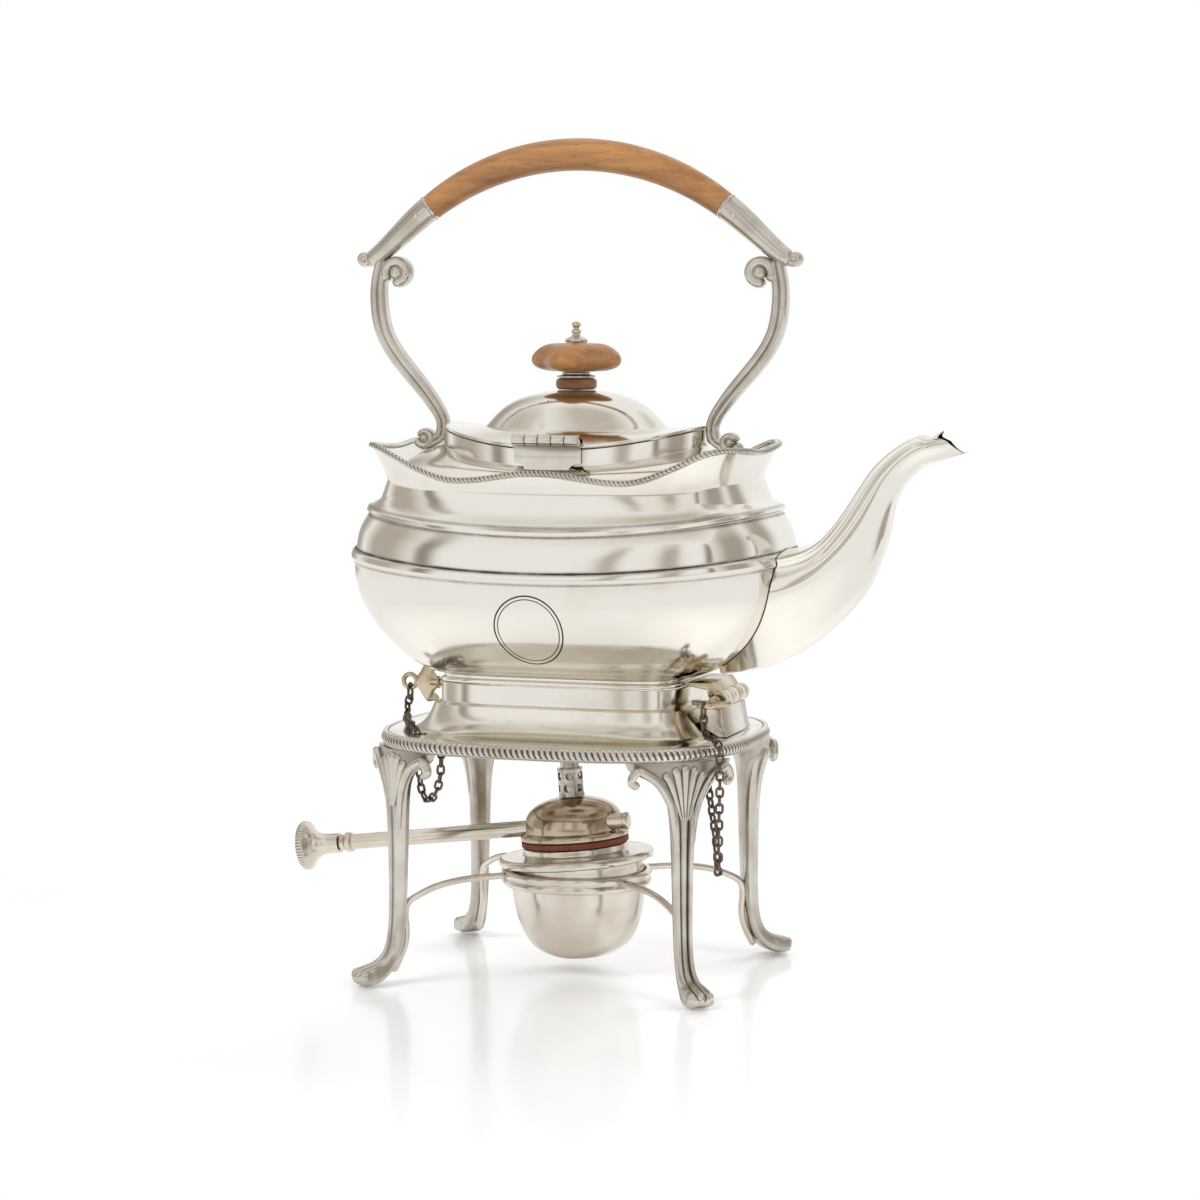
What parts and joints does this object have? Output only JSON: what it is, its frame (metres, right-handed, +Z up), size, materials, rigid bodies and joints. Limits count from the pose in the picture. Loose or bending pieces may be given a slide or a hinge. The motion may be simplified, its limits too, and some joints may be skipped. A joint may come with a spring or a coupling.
{
  "type": "spirit kettle on stand",
  "caption": "Oblong bellied kettle with a hinged lid, fixed arched handle and spout, hinged and pinned on a four-legged stand with a spirit lamp.",
  "frame": {"origin": "on the floor under the middle of the overall box, spout towards +X", "axes": "+X along the kettle to the spout, +Y away from the side with the lid hinge, +Z up"},
  "size_m": [0.2584, 0.1236, 0.311],
  "materials": {
    "silver": "polished silver, lightly worn",
    "cast_silver": "cast silver, bright with darker recesses",
    "gilt": "worn yellowish silver gilt",
    "dark_silver": "tarnished silver",
    "wood": "waxed fruitwood",
    "brick_washer": "matt brick red fibre",
    "cotton": "woven cotton wick"
  },
  "bodies": {
    "stand": {"platform": "silver", "platform_border": "cast_silver", "leg_front_left": "cast_silver", "leg_front_right": "cast_silver", "leg_back_right": "cast_silver", "leg_back_left": "cast_silver", "stretcher_front_left": "silver", "stretcher_front_right": "silver", "stretcher_back_right": "silver", "stretcher_back_left": "silver", "lamp_holder_ring": "silver", "hinge_bracket": "cast_silver", "lock_socket": "silver", "chain_eye_left": "silver", "chain_eye_right": "silver", "chain_left": "dark_silver", "chain_right": "dark_silver"},
    "kettle": {"kettle_body": "silver", "rim_border": "cast_silver", "kettle_foot": "silver", "lock_tongue": "silver", "shoulder": "silver", "spout": "silver", "handle_arm_left": "cast_silver", "handle_arm_right": "cast_silver", "handle_socket_left": "silver", "handle_socket_right": "silver", "handle_grip": "wood", "grip_pin_left": "silver", "grip_pin_right": "silver", "hinge_leaf": "silver", "lid_hinge_leaf": "silver", "lid_hinge_pin": "silver"},
    "lid": {"lid": "silver", "lid_hinge_strap": "silver", "knob_ring": "wood", "knob_neck": "silver", "knob": "wood", "finial": "silver", "knob_nut": "silver"},
    "hinge_pin": {"hinge_pin": "gilt", "chain_ring_right": "dark_silver"},
    "locking_pin": {"locking_pin": "gilt", "chain_ring_left": "dark_silver"},
    "lamp": {"lamp_bowl": "silver", "lamp_washer": "brick_washer"},
    "lamp_cap": {"lamp_cap": "silver", "wick_tube": "silver", "wick_gallery": "silver", "winder_sleeve": "silver", "winder_stub": "silver"},
    "winder": {"winder_knob": "silver"},
    "wick": {"wick": "cotton"}
  },
  "joints": [
    {"name": "kettle_tilt", "type": "hinge", "parent": "stand", "child": "kettle", "pos_m": [0.03963, 0, 0.106], "axis": [0, 1, 0], "range_deg": [0, 60]},
    {"name": "lid_hinge", "type": "hinge", "parent": "kettle", "child": "lid", "pos_m": [-0.01978, -0.03545, 0.2011], "axis": [1, 0, 0], "range_deg": [0, 100]},
    {"name": "hinge_pin_slide", "type": "slide", "parent": "stand", "child": "hinge_pin", "axis": [0, -1, 0], "range_m": [0, 0.036], "deforming": ["chain_right"]},
    {"name": "locking_pin_slide", "type": "slide", "parent": "stand", "child": "locking_pin", "axis": [-1, 0, 0], "range_m": [0, 0.014], "deforming": ["chain_left"]},
    {"name": "lamp_lift", "type": "slide", "parent": "stand", "child": "lamp", "axis": [0, 0, 1], "range_m": [0, 0.018]},
    {"name": "lamp_cap_turn", "type": "hinge", "parent": "lamp", "child": "lamp_cap", "pos_m": [-0.01978, 0, 0.04144], "axis": [-0.0785, 0, 0.9969], "range_deg": [-25, 25]},
    {"name": "wick_winder_turn", "type": "hinge", "parent": "lamp_cap", "child": "winder", "pos_m": [-0.0209, -0.006, 0.05579], "axis": [-0.9923, 0, -0.1236], "range_deg": [0, 140]},
    {"name": "wick_raise", "type": "slide", "parent": "lamp_cap", "child": "wick", "axis": [-0.0785, 0, 0.9969], "range_m": [0, 0.0059]}
  ],
  "couplings": [
    {"joint": "wick_raise", "follows": "wick_winder_turn", "m_per_rad": 0.0024}
  ]
}
